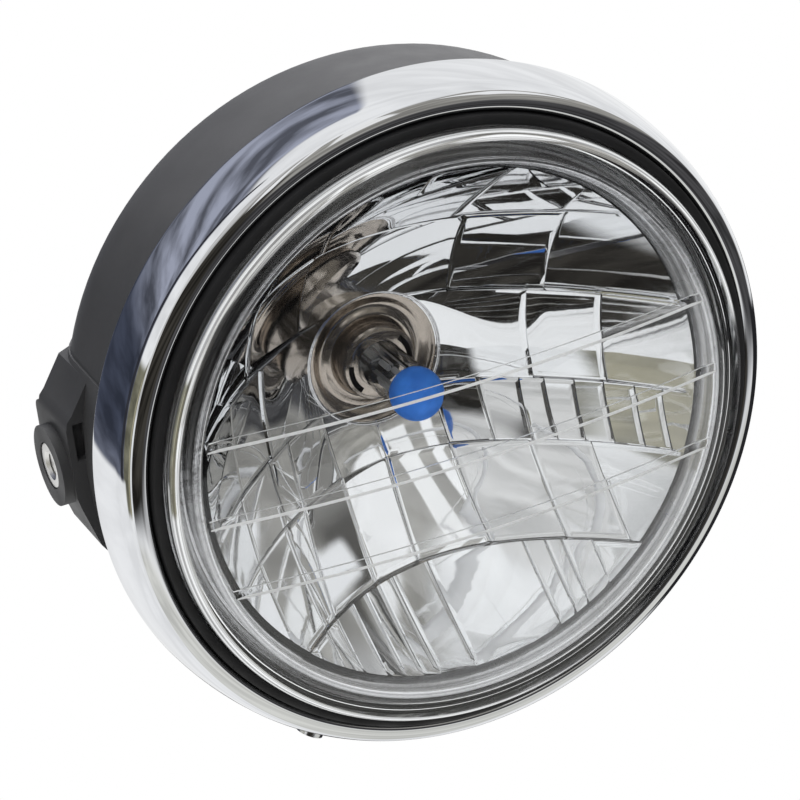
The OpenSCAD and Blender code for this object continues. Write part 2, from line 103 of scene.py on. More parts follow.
class HEADLIGHT_PG_mirror(PropertyGroup):
    dish_width: length("Dish width", "Width of the curve, four times the focal length", 0.0979)
    dish_bottom: length("Dish bottom", "Depth of the bottom of the dish", 0.0678)
    radius: length("Mirror radius", "Radius at which the facets meet the skirt", 0.0736)
    shelf: length("Front shelf", "Least depth of a facet behind the glass shoulder", 0.0050)
    shell: length("Shell", "Thickness of the shell", 0.0022)
    hole: length("Bulb hole", "Radius of the well round the bulb", 0.0196)
    ease: length("Easing", "Radius at which the steps round the bulb reach their height", 0.046)
    relief: FloatProperty(name="Relief", description="Share of the full height of the steps",
                          default=0.67, min=0.0, max=1.5)
    cell: length("Cell", "Size of a mesh cell on a facet", 0.0015, 0.0005, 0.01)
    fillet: length("Fillet", "Rounding of the edge of each facet", 0.0005)
    tint: colour("Mirror", "Colour of the metallised surface", (0.90, 0.905, 0.915))
    skirt: colour("Skirt", "Colour of the skirt round the mirror", (0.66, 0.66, 0.67))


class HEADLIGHT_PG_finish(PropertyGroup):
    plastic: colour("Bucket plastic", "Colour of the moulded bucket", (0.050, 0.050, 0.052))
    rubber: colour("Rubber", "Colour of gasket, boot and grommet", (0.010, 0.010, 0.011))
    steel: colour("Zinc steel", "Colour of the plated steel parts", (0.62, 0.62, 0.63))
    insert: colour("Insert steel", "Colour of the threaded inserts", (0.80, 0.79, 0.77))
    nickel: colour("Bulb flange", "Colour of the bulb's flange and collar", (0.46, 0.41, 0.36))
    lacquer: colour("Tip lacquer", "Colour of the painted bulb tip", (0.055, 0.25, 0.92))
    insulator: colour("Insulator", "Colour of the bulb's insulator", (0.03, 0.03, 0.032))
    brass: colour("Terminals", "Colour of the blade terminals", (0.72, 0.62, 0.42))
    floor: colour("Floor", "Colour of the floor", (0.86, 0.86, 0.86))


# ---------------------------------------------------------------- shapes

def along(depth):
    """Position along Y of a depth behind the glass shoulder, both in metres."""
    return depth - SHOULDER * MM


def arc(radius, depth, size, start, end, count):
    """Points of an arc in the plane of radius and depth; angles in degrees."""
    points = []
    for step in range(count + 1):
        turn = math.radians(start + (end - start) * step / count)
        points.append((radius + size * math.cos(turn), depth - size * math.sin(turn)))
    return points


def spin_profile(mesh, points, steps, closed=True):
    """Spin a profile of radius and depth points round the lamp's axis."""
    verts = [mesh.verts.new((radius, along(depth), 0.0)) for radius, depth in points]
    edges = [mesh.edges.new(pair) for pair in zip(verts, verts[1:])]
    if closed:
        edges.append(mesh.edges.new((verts[-1], verts[0])))
    bmesh.ops.spin(mesh, geom=verts + edges, cent=(0, 0, 0), axis=(0, 1, 0),
                   angle=math.tau, steps=steps, use_merge=True)
    bmesh.ops.remove_doubles(mesh, verts=mesh.verts[:], dist=WELD / 2)
    bmesh.ops.recalc_face_normals(mesh, faces=mesh.faces[:])


def with_parts(faces):
    """Faces together with their edges and corners, as the cutting tool takes them."""
    parts = set(faces)
    for face in faces:
        parts.update(face.edges)
        parts.update(face.verts)
    return list(parts)


def eased(value):
    """A value held between 0 and 1, with soft ends."""
    value = min(1.0, max(0.0, value))
    return value * value * (3 - 2 * value)


def add_mesh(target, part, name):
    """Move the faces of one bmesh into another and free it."""
    data = bpy.data.meshes.new(name)
    part.to_mesh(data)
    part.free()
    target.from_mesh(data)
    bpy.data.meshes.remove(data)


def make_piece(mesh, name, node, material, sharp=SMOOTH_PIECES):
    """Turn a bmesh into a piece of the lamp that stands for a node of the frame."""
    data = bpy.data.meshes.new(name)
    mesh.to_mesh(data)
    mesh.free()
    data.shade_smooth()
    data.set_sharp_from_angle(angle=math.radians(sharp))
    piece = bpy.data.objects.new(name, data)
    bpy.context.scene.collection.objects.link(piece)
    data.materials.append(material)
    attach(piece, "root")
    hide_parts(node)
    return piece


def smooth_group():
    """Geometry nodes that weld a node's triangles and smooth them by angle."""
    group = bpy.data.node_groups.new("smooth_by_angle", "GeometryNodeTree")
    for way in ("INPUT", "OUTPUT"):
        group.interface.new_socket(name="Geometry", in_out=way, socket_type="NodeSocketGeometry")
    start = group.nodes.new("NodeGroupInput")
    end = group.nodes.new("NodeGroupOutput")
    weld = group.nodes.new("GeometryNodeMergeByDistance")
    weld.inputs["Distance"].default_value = WELD
    angle = group.nodes.new("GeometryNodeInputMeshEdgeAngle")
    gentle = group.nodes.new("FunctionNodeCompare")
    gentle.data_type = "FLOAT"
    gentle.operation = "LESS_EQUAL"
    gentle.inputs[1].default_value = math.radians(SMOOTH_NODES)
    faces = group.nodes.new("GeometryNodeSetShadeSmooth")
    faces.domain = "FACE"
    edges = group.nodes.new("GeometryNodeSetShadeSmooth")
    edges.domain = "EDGE"
    links = group.links
    links.new(start.outputs[0], weld.inputs["Geometry"])
    links.new(weld.outputs[0], faces.inputs["Geometry"])
    links.new(faces.outputs[0], edges.inputs["Geometry"])
    links.new(angle.outputs["Unsigned Angle"], gentle.inputs[0])
    links.new(gentle.outputs[0], edges.inputs["Shade Smooth"])
    links.new(edges.outputs[0], end.inputs[0])
    return group


def dress_nodes(names, material):
    """Give nodes of the frame a material and smooth shading."""
    group = bpy.data.node_groups.get("smooth_by_angle") or smooth_group()
    for name in names:
        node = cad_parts[name]
        node.data.materials.clear()
        node.data.materials.append(material)
        finish = node.modifiers.new("smooth", "NODES")
        finish.node_group = group


# ---------------------------------------------------------------- materials

class Surface:
    """A principled material with a short way to add procedural detail."""

    def __init__(self, name, base, metallic=0.0, roughness=0.5, **sockets):
        self.material = bpy.data.materials.new(name)
        self.material.use_nodes = True
        self.tree = self.material.node_tree
        self.shader = self.tree.nodes["Principled BSDF"]
        self.set("Base Color", (*base, 1.0))
        self.set("Metallic", metallic)
        self.set("Roughness", roughness)
        for socket, value in sockets.items():
            self.set(socket.replace("_", " "), value)
        self.where = self.add("ShaderNodeTexCoord").outputs["Object"]
        self.height = None

    def add(self, kind, **settings):
        node = self.tree.nodes.new(kind)
        for key, value in settings.items():
            setattr(node, key, value)
        return node

    def set(self, socket, value):
        self.shader.inputs[socket].default_value = value

    def link(self, start, end):
        self.tree.links.new(start, end)

    def place(self, scale):
        """Object coordinates stretched along each axis."""
        mapping = self.add("ShaderNodeMapping")
        mapping.inputs["Scale"].default_value = scale
        self.link(self.where, mapping.inputs["Vector"])
        return mapping.outputs["Vector"]

    def noise(self, scale, detail=4.0, rough=0.5, vector=None):
        node = self.add("ShaderNodeTexNoise")
        node.inputs["Scale"].default_value = scale
        node.inputs["Detail"].default_value = detail
        node.inputs["Roughness"].default_value = rough
        self.link(vector or self.where, node.inputs["Vector"])
        return node.outputs["Fac"]

    def rings(self, scale):
        """Fine rings round the lamp's axis."""
        reach = self.add("ShaderNodeVectorMath", operation="LENGTH")
        self.link(self.place((1.0, 0.0, 1.0)), reach.inputs[0])
        node = self.add("ShaderNodeTexNoise", noise_dimensions="1D")
        node.inputs["Scale"].default_value = scale
        node.inputs["Detail"].default_value = 2.0
        self.link(reach.outputs["Value"], node.inputs["W"])
        return node.outputs["Fac"]

    def spread(self, value, low, high, start=0.3, end=0.7):
        node = self.add("ShaderNodeMapRange")
        node.inputs["From Min"].default_value = start
        node.inputs["From Max"].default_value = end
        node.inputs["To Min"].default_value = low
        node.inputs["To Max"].default_value = high
        self.link(value, node.inputs["Value"])
        return node.outputs["Result"]

    def tint(self, value, dark, light, start=0.3, end=0.7):
        ramp = self.add("ShaderNodeValToRGB")
        ramp.color_ramp.elements[0].position = start
        ramp.color_ramp.elements[0].color = (*dark, 1.0)
        ramp.color_ramp.elements[1].position = end
        ramp.color_ramp.elements[1].color = (*light, 1.0)
        self.link(value, ramp.inputs["Fac"])
        self.link(ramp.outputs["Color"], self.shader.inputs["Base Color"])

    def rough(self, value, low, high):
        self.link(self.spread(value, low, high), self.shader.inputs["Roughness"])

    def bump(self, value, distance, strength=1.0):
        node = self.add("ShaderNodeBump")
        node.inputs["Distance"].default_value = distance
        node.inputs["Strength"].default_value = strength
        self.link(value, node.inputs["Height"])
        if self.height is not None:
            self.link(self.height, node.inputs["Normal"])
        self.height = node.outputs["Normal"]
        self.link(self.height, self.shader.inputs["Normal"])


def shade(base, factor):
    """A lighter or darker shade of a colour."""
    return tuple(min(1.0, part * factor) for part in base)


def chrome_plate(tint):
    surface = Surface("chrome_plate", tint, 1.0, 0.03)
    surface.rough(surface.noise(28, 5, 0.6), 0.015, 0.05)
    surface.tint(surface.noise(9, 3), shade(tint, 0.96), tint)
    surface.bump(surface.noise(45, 2), 0.00002, 0.35)
    return surface.material


def glass_edge_reflection(tint):
    """The glass's rounded outer edge, made as metal that throws light back as the glass does from
    inside; fine darker and lighter rings are painted into its colour as reflection lines.
    """
    surface = Surface("glass_edge_reflection", shade(tint, 0.86), 0.9, 0.08)
    # Painted reflection lines: darker and lighter rings round the axis in the edge's colour.
    surface.tint(surface.rings(1500), shade(tint, 0.45), shade(tint, 0.98), 0.40, 0.56)
    surface.rough(surface.noise(160, 3), 0.05, 0.14)
    return surface.material


def rib_highlight_paint(tint):
    """The steep sides of the moulded ribs, given an opaque white colour that paints the thin
    bright highlight lines the clear glass shows there.
    """
    surface = Surface("rib_highlight_paint", shade(tint, 0.95), 0.0, 0.25)
    # Painted highlight: near-white colour on the rib sides, a little darker at random.
    surface.tint(surface.noise(120, 4), shade(tint, 0.82), shade(tint, 1.0))
    surface.rough(surface.noise(300, 3), 0.15, 0.35)
    return surface.material


def clear_glass(name, tint, ripple=0.25):
    surface = Surface(name, tint, 0.0, 0.0, IOR=1.47, Transmission_Weight=1.0)
    surface.rough(surface.noise(60, 3), 0.0, 0.012)
    surface.bump(surface.noise(22, 2), 0.00003, ripple)
    return surface.material


def mirror_coat(tint):
    surface = Surface("mirror_coat", tint, 1.0, 0.02)
    surface.tint(surface.noise(14, 3), shade(tint, 0.97), tint)
    surface.rough(surface.noise(40, 4), 0.01, 0.035)
    surface.bump(surface.noise(60, 3, 0.55), 0.00003, 0.5)
    return surface.material


def ringed_metal(base):
    """Dull metal for the skirt behind the glass border, with fine darker and lighter rings round
    the axis in its colour and relief.
    """
    surface = Surface("skirt_metal", base, 1.0, 0.22)
    rings = surface.rings(900)
    surface.tint(rings, shade(base, 0.62), shade(base, 1.35), 0.36, 0.64)
    surface.rough(surface.noise(80, 3), 0.16, 0.3)
    surface.bump(rings, 0.0003, 0.6)
    surface.bump(surface.noise(110, 4, 0.6), 0.0006, 0.5)
    return surface.material


def moulded_plastic(base):
    surface = Surface("moulded_plastic", base, 0.0, 0.5, Specular_IOR_Level=0.42)
    surface.tint(surface.noise(35, 5), shade(base, 0.86), shade(base, 1.14))
    surface.rough(surface.noise(90, 4), 0.46, 0.62)
    surface.bump(surface.noise(1700, 3, 0.6), 0.00005, 0.4)
    surface.bump(surface.noise(320, 3), 0.00006, 0.2)
    return surface.material


def soft_rubber(name, base):
    surface = Surface(name, base, 0.0, 0.6, Specular_IOR_Level=0.35)
    surface.tint(surface.noise(60, 4), shade(base, 0.75), shade(base, 1.5))
    surface.rough(surface.noise(140, 3), 0.5, 0.75)
    surface.bump(surface.noise(900, 3), 0.00005, 0.35)
    return surface.material


def plated_steel(name, base, low=0.22, high=0.4, metallic=1.0):
    surface = Surface(name, base, metallic, 0.3)
    surface.tint(surface.noise(120, 5), shade(base, 0.82), shade(base, 1.08))
    surface.rough(surface.noise(260, 4), low, high)
    surface.bump(surface.noise(700, 3), 0.00003, 0.3)
    return surface.material


def turned_steel(base):
    surface = Surface("turned_steel", base, 1.0, 0.3)
    marks = surface.noise(900, 2, 0.5, surface.place((1.0, 0.05, 0.05)))
    surface.tint(surface.noise(150, 4), shade(base, 0.78), shade(base, 1.1))
    surface.rough(marks, 0.25, 0.42)
    surface.bump(marks, 0.00004, 0.4)
    return surface.material


def bulb_nickel(base):
    surface = Surface("bulb_nickel", base, 1.0, 0.16)
    surface.tint(surface.noise(190, 4), shade(base, 0.92), shade(base, 1.08))
    surface.rough(surface.noise(420, 3), 0.12, 0.22)
    surface.bump(surface.noise(500, 2), 0.00001, 0.2)
    return surface.material


def tip_lacquer(base):
    surface = Surface("tip_lacquer", base, 0.0, 0.5, Specular_IOR_Level=0.2)
    surface.tint(surface.noise(210, 3), shade(base, 0.85), shade(base, 1.2))
    surface.rough(surface.noise(300, 3), 0.42, 0.6)
    surface.bump(surface.noise(650, 2), 0.00003, 0.25)
    return surface.material


def dull_plastic(base):
    surface = Surface("insulator_plastic", base, 0.0, 0.55)
    surface.tint(surface.noise(150, 4), shade(base, 0.8), shade(base, 1.3))
    surface.bump(surface.noise(1200, 3), 0.00004, 0.3)
    return surface.material


# ---------------------------------------------------------------- pieces

def chrome_rim(sizes):
    """Folded back edge, band, front roll and turned-in lip, with two flattened screw pads."""
    edge, fold = 0.0005, 0.0024     # radius of the back edge, and how far it folds inwards
    radius, depth = sizes.back_radius - edge, sizes.back_depth
    outer, inner = [], []
    # Each arc goes on from the end of the last: its radius, its start and end angle, its steps.
    for size, start, end, count in ((edge, -90, 3, 5), (sizes.band_curve, 3, 13, 16),
                                    (sizes.shoulder, 13, 30, 12), (sizes.corner, 30, 60, 10),
                                    (sizes.face, 60, 86, 10), (sizes.lip, 86, 195, 12)):
        turn = math.radians(start)
        centre = (radius - size * math.cos(turn), depth + size * math.sin(turn))
        outer += arc(*centre, size, start, end, count)[1 if outer else 0:]
        if size > sizes.sheet:
            inner += arc(*centre, size - sizes.sheet, start, end, count)
        radius, depth = outer[-1]
    folded = sizes.back_radius - fold
    back = [(folded, sizes.back_depth - sizes.sheet), (folded, sizes.back_depth)]
    mesh = bmesh.new()
    spin_profile(mesh, outer + inner[::-1] + back, sizes.steps)
    pad_turn = math.radians(30)     # of each screw from straight down
    pad_depth, pad_size, pad_blend = 0.0225, 0.0085, 0.0030
    seat = Vector((0, along(pad_depth), 0))
    for side in (-1, 1):
        out = Vector((side * math.sin(pad_turn), 0, -math.cos(pad_turn)))
        for vert in mesh.verts:
            rise = vert.co.dot(out)
            over = rise - sizes.pad_radius
            if over > 0:
                off = (vert.co - seat - out * rise).length
                vert.co -= out * over * eased((pad_size - off) / pad_blend)
    return mesh


def gasket_ring(sizes):
    """Rubber seal with a rounded bead round the glass and a flat foot under the rim."""
    clearance = 0.00005
    bead = ((0.0, 0.0071), (0.0003, 0.0066), (0.0010, 0.0063), (0.0021, 0.0064),
            (0.0028, 0.0069), (0.0030, 0.0078), (0.0031, 0.01025), (0.0056, 0.01025),
            (0.0056, 0.0114), (0.0, 0.0114))
    inner = sizes.border_radius + clearance
    mesh = bmesh.new()
    spin_profile(mesh, [(inner + out, depth) for out, depth in bead], 256)
    return mesh


def glass_cover(sizes):
    """Domed glass with a rounded border, a side wall, a flange and three inner ribs."""
    rise, radius = sizes.dome_height, sizes.dome_radius
    sphere = (radius * radius + rise * rise) / (2 * rise)
    inner_radius = radius - 0.0014
    wall_in = sizes.border_radius - sizes.wall - 0.0002
    flange_front, flange_back = 0.01145, 0.01345
    inside = (sizes.wall - rise, sphere - sizes.wall)

    def cap(r, front, size):
        """Depth of a sphere of a size at a radius, with its foremost point at front."""
        return front + size - math.sqrt(size * size - r * r)

    def dome(edge, front, size):
        return [(edge * step / 22, cap(edge * step / 22, front, size)) for step in range(23)]

    def border(start, end, front, count):
        """Quarter turn from the edge of a dome to the side wall."""
        turns = [math.pi / 2 * step / count for step in range(1, count + 1)]
        return [(start + (end - start) * math.sin(turn),
                 front + sizes.border_drop * (1 - math.cos(turn))) for turn in turns]

    outer = dome(radius, -rise, sphere) + border(radius, sizes.border_radius, 0.0, 14)
    flange = [(sizes.border_radius, flange_front), (sizes.flange_radius, flange_front),
              (sizes.flange_radius, flange_back), (wall_in, flange_back)]
    inner = dome(inner_radius, *inside) + border(inner_radius, wall_in,
                                                 cap(inner_radius, *inside), 10)
    mesh = bmesh.new()
    spin_profile(mesh, outer + flange + inner[::-1], 192, closed=False)
    limit = (inner_radius - 0.0002) ** 2
    heights = [sizes.rib_top - sizes.rib_pitch * index for index in range(3)]
    half_rib = sizes.rib_width / 2
    rib_side, rib_end, rib_fade = 0.30, 0.0755, 0.001

    def is_inside(co):
        """Whether a point is on the inner face of the dome."""
        flat = co.x * co.x + co.z * co.z
        front = cap(math.sqrt(min(flat, limit)), -rise, sphere)
        return flat < limit + 1e-7 and co.y > along(front) + 0.0012

    for height in heights:
        for part in (-1.0, -0.9, -0.8, -0.7, 0.0, 0.7, 0.8, 0.9, 1.0):
            faces = [face for face in mesh.faces if is_inside(face.calc_center_median())]
            bmesh.ops.bisect_plane(mesh, geom=with_parts(faces), dist=CUT,
                                   plane_co=(0, 0, height + part * sizes.rib_width / 2),
                                   plane_no=(0, 0, 1))
    for vert in mesh.verts:
        if not is_inside(vert.co):
            continue
        for height in heights:
            off = abs(vert.co.z - height) / half_rib
            if off < 1.0:
                side = min(1.0, (1.0 - off) / rib_side)
                reach = math.hypot(vert.co.x, vert.co.z)
                fade = min(1.0, max(0.0, (rib_end - reach) / rib_fade))
                vert.co.y += sizes.rib_depth * math.sin(side * math.pi / 2) * fade
    mesh.normal_update()
    for face in mesh.faces:
        middle = face.calc_center_median()
        reach = math.hypot(middle.x, middle.z)
        if middle.y < along(sizes.border_drop) and reach > sizes.bright_edge:
            if face.normal.y < -0.05 or reach > sizes.border_radius - 1e-5:
                face.material_index = 1     # the glass edge, metal with painted reflection rings
        elif is_inside(middle) and abs(face.normal.z) > 0.25:
            face.material_index = 2         # the rib sides, painted white as highlight lines
    return mesh


# Facets of the reflector, in millimetres: the top and bottom of each row, then for each facet its
# left seam at the top and bottom of the row, its right seam at the top and bottom, how far it is
# set back, how far it bulges forward, and its sideways slope.
ROWS = (
    (77.0, 46.0, (              # crown
        (-80, -80, -46, -44, 0.0, 0.3, 0.00),
        (-46, -44, -23, -20, 0.0, 0.4, 0.02),
        (-23, -20, 30, 20, 0.0, 0.5, 0.00),
        (30, 20, 52, 44, 0.0, 0.4, -0.02),
        (52, 44, 80, 80, 0.0, 0.3, 0.00))),
    (46.0, 16.0, (              # upper
        (-80, -80, -46, -46, 0.5, 0.3, 0.0),
        (-46, -46, -23, -23, -0.6, 0.4, 0.0),
        (-23, -23, 23, 23, 0.5, 0.2, 0.0),
        (23, 23, 46, 46, -0.6, 0.4, 0.0),
        (46, 46, 80, 80, 0.5, 0.3, 0.0))),
    (16.0, -12.0, (              # middle
        (-80, -80, -57, -57, -4.5, 0.3, 0.0),
        (-57, -57, -41, -41, -3.5, 0.3, 0.0),
        (-41, -41, 41, 41, -4.5, 0.0, 0.0),
        (41, 41, 57, 57, -3.5, 0.3, 0.0),
        (57, 57, 80, 80, -4.5, 0.3, 0.0))),
    (-12.0, -29.0, (              # lower
        (-80, -80, -58, -58, -4.5, 0.2, 0.0),
        (-58, -58, -43, -43, -4.5, 0.2, 0.0),
        (-43, -43, -33, -34, -4.5, 0.2, 0.0),
        (-33, -34, -18, -18, -4.5, 0.2, 0.0),
        (-18, -18, -2, -2, -3.7, 0.2, 0.0),
        (-2, -2, 16.5, 16.5, -3.7, 0.2, 0.0),
        (16.5, 16.5, 28, 28, -4.5, 0.2, 0.0),
        (28, 28, 38, 37, -4.5, 0.15, 0.0),
        (38, 37, 43.5, 43, -4.5, 0.1, 0.0),
        (43.5, 43, 50, 49, -4.5, 0.1, 0.0),
        (50, 49, 56, 55, -4.5, 0.1, 0.0),
        (56, 55, 62, 61, -4.5, 0.1, 0.0),
        (62, 61, 67, 66, -4.5, 0.1, 0.0),
        (67, 66, 80, 80, -4.5, 0.1, 0.0))),
    (-29.0, -52.5, (              # floor
        (-80, -80, -58, -56, -4.5, 0.2, 0.0),
        (-58, -56, -43, -42, -4.5, 0.2, 0.0),
        (-43, -42, -34, -38, -4.5, 0.2, 0.0),
        (-34, -38, -18, -20, -4.5, 0.2, 0.0),
        (-18, -20, -2, -5, -3.7, 0.2, 0.0),
        (-2, -5, 16.5, 17, -3.7, 0.2, 0.0),
        (16.5, 17, 36, 36, -4.5, 0.2, 0.0),
        (36, 36, 50, 50, -4.5, 0.15, 0.0),
        (50, 50, 80, 80, -4.5, 0.15, 0.0))),
    (-52.5, -77.0, (              # foot
        (-80, -80, -43, -41, -6.5, 0.1, 0.0),
        (-43, -41, -38, -36, -6.5, 0.1, 0.0),
        (-38, -36, -31, -29.5, -6.5, 0.1, 0.0),
        (-31, -29.5, -25.3, -24, -6.5, 0.1, 0.0),
        (-25.3, -24, -20, -19, -6.5, 0.1, 0.0),
        (-20, -19, -15, -14, -6.5, 0.1, 0.0),
        (-15, -14, -3, -3, -6.5, 0.1, 0.0),
        (-3, -3, 24.6, 24, -6.5, 0.1, 0.0),
        (24.6, 24, 30, 29, -6.5, 0.1, 0.0),
        (30, 29, 34, 33, -6.5, 0.1, 0.0),
        (34, 33, 41, 39.5, -6.5, 0.1, 0.0),
        (41, 39.5, 80, 80, -6.5, 0.1, 0.0))),
)


def cut_hole(mesh, faces, hole):
    """Cut the bulb's hole out of a flat set of faces, and return the faces that stay."""
    sides = 48
    for step in range(sides):
        turn = math.tau * (step + 0.5) / sides
        way = Vector((math.cos(turn), 0, math.sin(turn)))
        near = []
        for face in faces:
            centre = face.calc_center_median()
            if hole * 0.6 <= centre.length <= hole * 1.35:
                if centre.normalized().dot(way) > math.cos(math.tau / sides * 1.4):
                    near.append(face)
        before = set(mesh.faces)
        bmesh.ops.bisect_plane(mesh, geom=with_parts(near), dist=CUT,
                               plane_co=way * hole, plane_no=way)
        faces = {face for face in faces if face.is_valid} | (set(mesh.faces) - before)
    gone = [face for face in faces if face.calc_center_median().length < hole * 0.9999]
    faces -= set(gone)
    bmesh.ops.delete(mesh, geom=gone, context="FACES")
    return faces


def mirror_facet(mesh, sizes, top, low, facet):
    """Add one facet of the reflector: a curved front, side walls and a back."""
    left_top, left_foot, right_top, right_foot, offset, bulge, slope = facet
    edge, hole = sizes.radius / MM, sizes.hole
    bottom, width = sizes.dish_bottom / MM, sizes.dish_width / MM

    def seams(z):
        """Left and right seam at a height, in millimetres."""
        k = (top - z) / (top - low)
        return left_top + (left_foot - left_top) * k, right_top + (right_foot - right_top) * k

    def sides(z):
        """The same, cut off at the mirror's round edge."""
        left, right = seams(z)
        reach = math.sqrt(max(0.0, edge * edge - z * z))
        return max(left, -reach), min(right, reach)

    levels = [low + (top - low) * step / 240 for step in range(241)]
    used = [z for z in levels if sides(z)[1] - sides(z)[0] > 0.05]
    if len(used) < 3:
        return
    z_low, z_high = used[0], used[-1]
    wide = max(sides(z)[1] - sides(z)[0] for z in used)
    columns = max(3, round(wide * MM / sizes.cell))
    rows = max(3, round((z_high - z_low) * MM / sizes.cell))
    grid = bmesh.ops.create_grid(mesh, x_segments=columns, y_segments=rows, size=0.5)["verts"]
    for vert in grid:
        u, v = vert.co.x + 0.5, vert.co.y + 0.5
        z = z_low + (z_high - z_low) * v
        left, right = sides(z)
        vert.co = Vector((left + (right - left) * u, 0.0, z)) * MM
    faces = {face for vert in grid for face in vert.link_faces}
    if any(face.calc_center_median().length < hole * 1.4 for face in faces):
        faces = cut_hole(mesh, faces, hole)
    if not faces:
        return
    for vert in {corner for face in faces for corner in face.verts}:
        x, z = vert.co.x / MM, vert.co.z / MM
        r2 = x * x + z * z
        left, right = seams(z)
        left, right = max(left, -edge), min(right, edge)
        off = x - (left + right) / 2
        across = off / max(1.0, (right - left) / 2)
        rise = eased((math.sqrt(r2) - hole / MM) / ((sizes.ease - hole) / MM))
        depth = bottom + offset * sizes.relief * rise - r2 / width
        depth += slope * off - bulge * (1 - across * across)
        vert.co.y = along(max(depth * MM, sizes.shelf))
    copy = bmesh.ops.extrude_face_region(mesh, geom=list(faces))
    for vert in (item for item in copy["geom"] if isinstance(item, bmesh.types.BMVert)):
        x, z = vert.co.x / MM, vert.co.z / MM
        r2 = x * x + z * z
        shell = sizes.shell / MM * math.sqrt(1 + 4 * r2 / width / width)
        back = bottom + 0.5 - r2 / width + shell
        vert.co.y = max(along(back * MM), along(sizes.shelf + 0.004), vert.co.y + 0.001)


def is_facet_corner(edge, radius):
    """Whether an edge runs between the front and a side of a facet, inside the round edge."""
    return (len(edge.link_faces) == 2 and edge.calc_face_angle(0.0) > math.radians(50)
            and (edge.verts[0].co.xz + edge.verts[1].co.xz).length < 2 * radius - 0.002
            and min(face.normal.y for face in edge.link_faces) < -0.4)


def stepped_mirror(sizes):
    """All facets, the skirt with its flange, and the ring that seats the bulb."""
    mesh = bmesh.new()
    for top, low, facets in ROWS:
        for facet in facets:
            piece = bmesh.new()
            mirror_facet(piece, sizes, top, low, facet)
            bmesh.ops.remove_doubles(piece, verts=piece.verts[:], dist=WELD)
            bmesh.ops.recalc_face_normals(piece, faces=piece.faces[:])
            corners = [edge for edge in piece.edges if is_facet_corner(edge, sizes.radius)]
            bmesh.ops.bevel(piece, geom=corners, offset=sizes.fillet, affect="EDGES",
                            segments=2, profile=0.5, material=-1, clamp_overlap=True)
            add_mesh(mesh, piece, "facet")
    skirt = bmesh.new()
    wall = sizes.radius - 0.0003
    spin_profile(skirt, [(0.0773, 0.0056), (0.0795, 0.0056), (0.0795, 0.0135),
                         (0.0896, 0.0135), (0.0896, 0.01505), (0.0795, 0.01505),
                         (0.0791, 0.0175), (0.0740, 0.0175), (wall, 0.0168), (wall, 0.0138),
                         (0.0742, 0.0112), (0.0757, 0.0080), (0.0767, 0.0062)], 256)
    seat = sizes.hole + 0.0003
    spin_profile(skirt, [(seat, 0.0634), (0.0243, 0.0630), (0.0245, 0.066), (0.0216, 0.066),
                         (0.0216, 0.0655), (seat, 0.0655)], 128)
    spin_profile(skirt, [(0.032, 0.0615), (0.034, 0.0610), (0.034, 0.074), (0.032, 0.074)], 128)
    for face in skirt.faces:
        face.material_index = 1             # the ringed metal
    add_mesh(mesh, skirt, "skirt")
    return mesh


def dished_flange():
    """The bulb's pressed flange: a raised ring, a hollow and a turned outer edge."""
    profile = ((0.01135, 0.0663), (0.0119, 0.0659), (0.0126, 0.06572), (0.0133, 0.0659),
               (0.0140, 0.0664), (0.0149, 0.0668), (0.0159, 0.0668), (0.0168, 0.0664),
               (0.0176, 0.0659), (0.0185, 0.06572), (0.0210, 0.06572), (0.0213, 0.0660),
               (0.0213, 0.0679), (0.0210, 0.0682), (0.01165, 0.0682), (0.01135, 0.0679))
    mesh = bmesh.new()
    spin_profile(mesh, profile, 128)
    return mesh


def threaded_insert(side):
    """A threaded steel insert: a turned face just under the boss face and a grooved bore."""
    boss_face, bore, outer, reach = 0.1013, 0.0034, 0.0066, 0.0150
    groove, half_pitch = 0.0004, 0.0006
    points = [(bore, 0.0012), (bore + 0.0008, 0.0003), (outer - 0.0003, 0.0003),
              (outer, 0.0006), (outer, reach), (bore, reach)]
    points += [(bore + groove * (step % 2), reach - half_pitch * (step + 1))
               for step in range(22)]
    mesh = bmesh.new()
    spin_profile(mesh, points, 96)
    for vert in mesh.verts:
        x, y, z = vert.co
        vert.co = (side * (boss_face - (y - along(0.0))), x, z)
    bmesh.ops.recalc_face_normals(mesh, faces=mesh.faces[:])
    return mesh


# ---------------------------------------------------------------- operators

class HEADLIGHT_OT_bucket(Operator):
    """Make the threaded inserts, and dress the moulded bucket, the grommet and the boot"""
    bl_idname = "headlight.bucket"
    bl_label = "Bucket"

    def execute(self, context):
        finish = context.scene.headlight_finish
        dress_nodes(["housing"], moulded_plastic(finish.plastic))
        steel = turned_steel(finish.insert)
        for side, end in ((-1, "left"), (1, "right")):
            make_piece(threaded_insert(side), "threaded_insert_" + end,
                       "insert_" + end, steel)
        dress_nodes(["wiring_grommet", "bulb_boot"], soft_rubber("black_rubber", finish.rubber))
        return {"FINISHED"}


class HEADLIGHT_OT_rim(Operator):
    """Make the chromed rim and its rubber seal, and dress the screws and clamping parts"""
    bl_idname = "headlight.rim"
    bl_label = "Chrome rim"

    def execute(self, context):
        rim, finish = context.scene.headlight_rim, context.scene.headlight_finish
        make_piece(chrome_rim(rim), "chrome_rim", "rim", chrome_plate(rim.tint))
        make_piece(gasket_ring(context.scene.headlight_glass), "rim_seal",
                   "rim_gasket", soft_rubber("seal_rubber", finish.rubber))
        dress_nodes(["rim_screws"], plated_steel("screw_plating", rim.tint, 0.1, 0.22))
        dress_nodes(["rim_nuts", "holding_ring", "bulb_seat", "seat_screws", "bulb_spring"],
                    plated_steel("zinc_steel", finish.steel))
        return {"FINISHED"}


